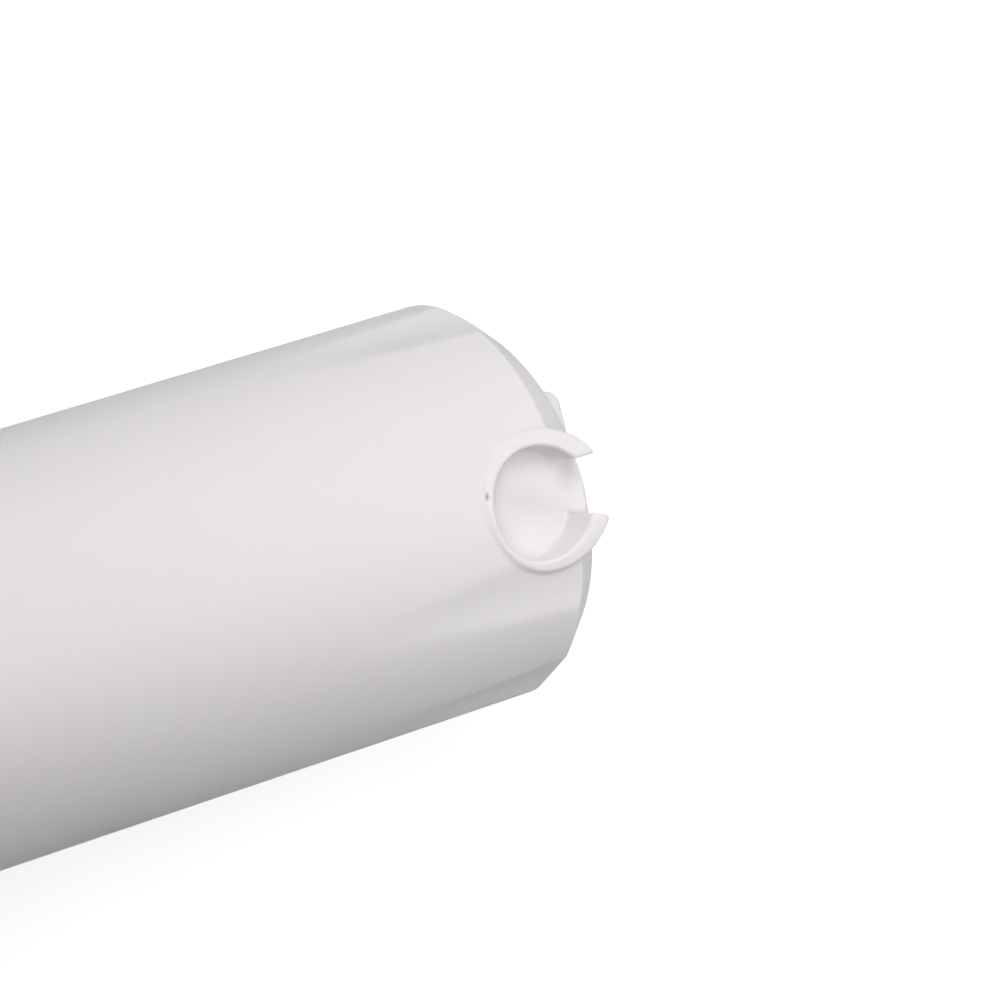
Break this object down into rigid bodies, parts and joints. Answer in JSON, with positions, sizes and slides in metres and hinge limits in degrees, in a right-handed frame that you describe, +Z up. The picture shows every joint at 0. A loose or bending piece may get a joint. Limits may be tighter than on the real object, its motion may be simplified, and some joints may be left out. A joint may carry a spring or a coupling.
{
  "type": "water prefilter cartridge",
  "caption": "Cylindrical water prefilter cartridge with a fluted, bevelled grip end, open-sided side sockets, a turning fin, and a stepped spigot sealed by rubber rings.",
  "frame": {"origin": "middle of the cartridge's length and width, on the surface that it lies on", "axes": "+X along the cartridge towards its grip end, +Z up along the axis of both side sockets"},
  "size_m": [0.236, 0.0656, 0.0656],
  "materials": {
    "housing_white": "moulded polypropylene, fine satin",
    "head_cap_white": "moulded polypropylene, fine satin",
    "element_cap": "moulded polypropylene",
    "element_core": "moulded polypropylene",
    "filter_medium": "bonded melt-blown fibre",
    "seal_rubber": "moulded nitrile rubber"
  },
  "bodies": {
    "root": {"housing": "housing_white", "head_cap": "head_cap_white", "outlet_end_cap": "element_cap", "closed_end_cap": "element_cap", "core_tube": "element_core", "sediment_media": "filter_medium", "spigot_o_ring": "seal_rubber", "nose_o_ring": "seal_rubber", "neck_o_ring": "seal_rubber"}
  },
  "joints": []
}
